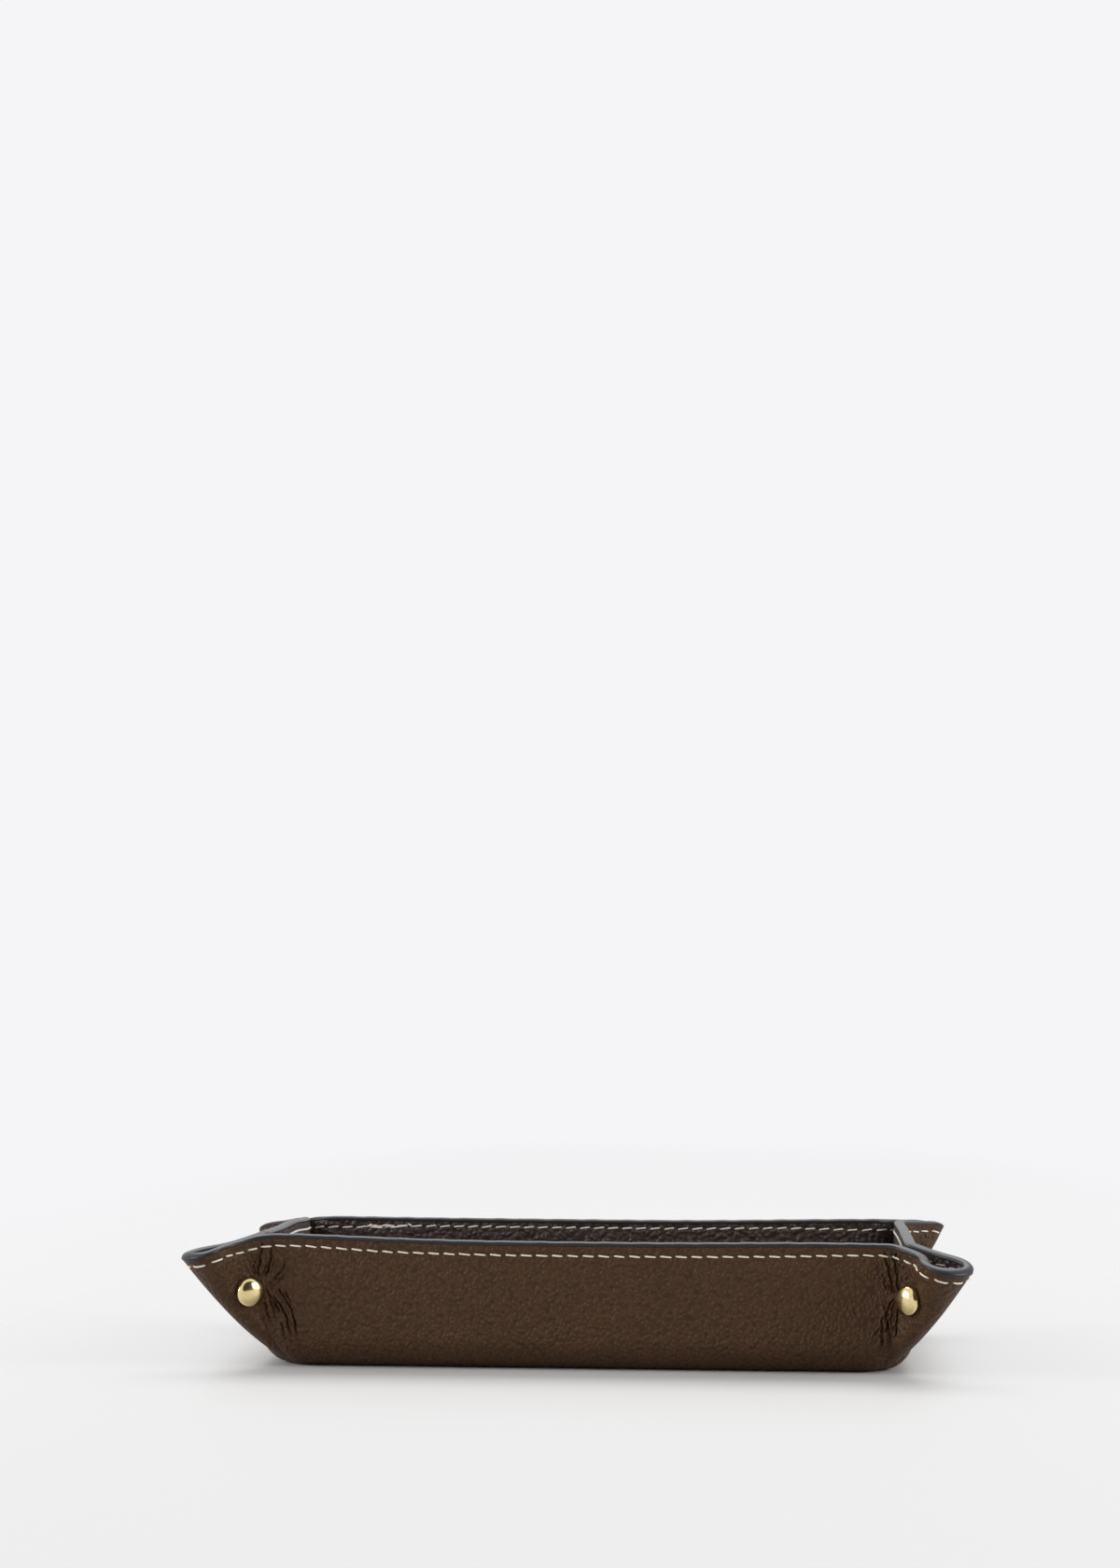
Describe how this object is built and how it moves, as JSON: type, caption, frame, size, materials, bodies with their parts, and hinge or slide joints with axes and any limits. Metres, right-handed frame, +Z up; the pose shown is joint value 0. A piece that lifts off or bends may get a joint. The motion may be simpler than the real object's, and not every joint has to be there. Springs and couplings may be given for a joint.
{
  "type": "leather valet tray",
  "caption": "Rectangular valet tray of folded leather: pebbled outer, dark lining, glossy painted edge, cream seam and a domed brass rivet through each pinched corner ear.",
  "frame": {"origin": "middle of the flat floor's underside, on the surface that the tray stands on", "axes": "+X along the long walls to the right of someone facing the front wall, -Y towards the front wall, +Z up"},
  "size_m": [0.2382, 0.1524, 0.0406],
  "materials": {
    "brown_leather": "fine pebbled grain, satin",
    "dark_lining": "pebbled grain, satin",
    "edge_paint": "rounded and glossy painted edge coat",
    "cream_thread": "waxed twisted thread",
    "polished_brass": "polished domed caps",
    "fibreboard": "plain stiffening board, hidden"
  },
  "bodies": {
    "root": {"outer_leather": "brown_leather", "lining_leather": "dark_lining", "floor_board": "fibreboard", "edge_paint": "edge_paint", "seam_thread_outer": "cream_thread", "seam_thread_inner": "cream_thread", "rivet_head_front_left": "polished_brass", "rivet_cap_front_left": "polished_brass", "rivet_head_back_left": "polished_brass", "rivet_cap_back_left": "polished_brass", "rivet_head_back_right": "polished_brass", "rivet_cap_back_right": "polished_brass", "rivet_head_front_right": "polished_brass", "rivet_cap_front_right": "polished_brass"}
  },
  "joints": []
}
